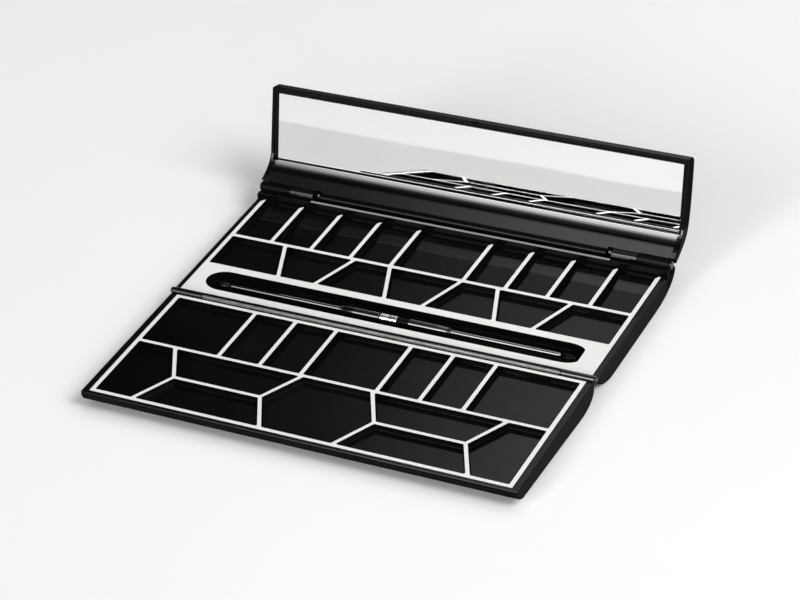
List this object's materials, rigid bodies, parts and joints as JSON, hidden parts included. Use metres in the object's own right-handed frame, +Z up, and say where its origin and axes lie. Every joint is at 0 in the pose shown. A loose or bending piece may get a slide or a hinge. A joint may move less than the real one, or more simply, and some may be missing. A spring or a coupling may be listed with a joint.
{
  "type": "folding paint palette case",
  "caption": "Slim black folding palette case: a base tray and a hinged front tray of empty shallow wells, a mirrored flap lid, and a double-ended applicator in its trench.",
  "frame": {"origin": "middle of the flat underside of the base tray, on the surface that it rests on", "axes": "+X along the case to the user's right, +Y from the folding front tray towards the lid hinge, +Z up"},
  "size_m": [0.1974, 0.1853, 0.0517],
  "materials": {
    "shell": "satin",
    "well_tray": "gloss",
    "top_plate": "fine brushed pearl-white film",
    "lid": "satin",
    "bezel": "gloss",
    "mirror": "polished",
    "tape": "foam",
    "pin": "gloss",
    "handle": "gloss",
    "band": "polished",
    "stem": "gloss",
    "sponge": "open-cell foam"
  },
  "bodies": {
    "base": {"base_shell": "shell", "base_well_tray": "well_tray", "base_top_plate": "top_plate", "fold_hinge_pin_left": "pin", "fold_hinge_pin_right": "pin", "lid_hinge_pin_left": "pin", "lid_hinge_pin_right": "pin"},
    "front_tray": {"front_shell": "shell", "front_well_tray": "well_tray", "front_top_plate": "top_plate"},
    "lid": {"lid_cover": "lid", "lid_mirror_frame": "bezel", "mirror": "mirror", "mirror_tape": "tape"},
    "applicator": {"applicator_handle": "handle", "applicator_band": "band", "applicator_stem_left": "stem", "applicator_stem_right": "stem", "applicator_tip_left": "sponge", "applicator_tip_right": "sponge"}
  },
  "joints": [
    {"name": "front_tray_fold", "type": "hinge", "parent": "base", "child": "front_tray", "pos_m": [0, -0.04045, 0.00935], "axis": [-1, 0, 0], "range_deg": [0, 180]},
    {"name": "lid_hinge", "type": "hinge", "parent": "base", "child": "lid", "pos_m": [0, 0.0418, 0.0124], "axis": [1, 0, 0], "range_deg": [0, 111]},
    {"name": "applicator_lift", "type": "slide", "parent": "base", "child": "applicator", "axis": [0, 0, 1], "range_m": [0, 0.07]}
  ]
}
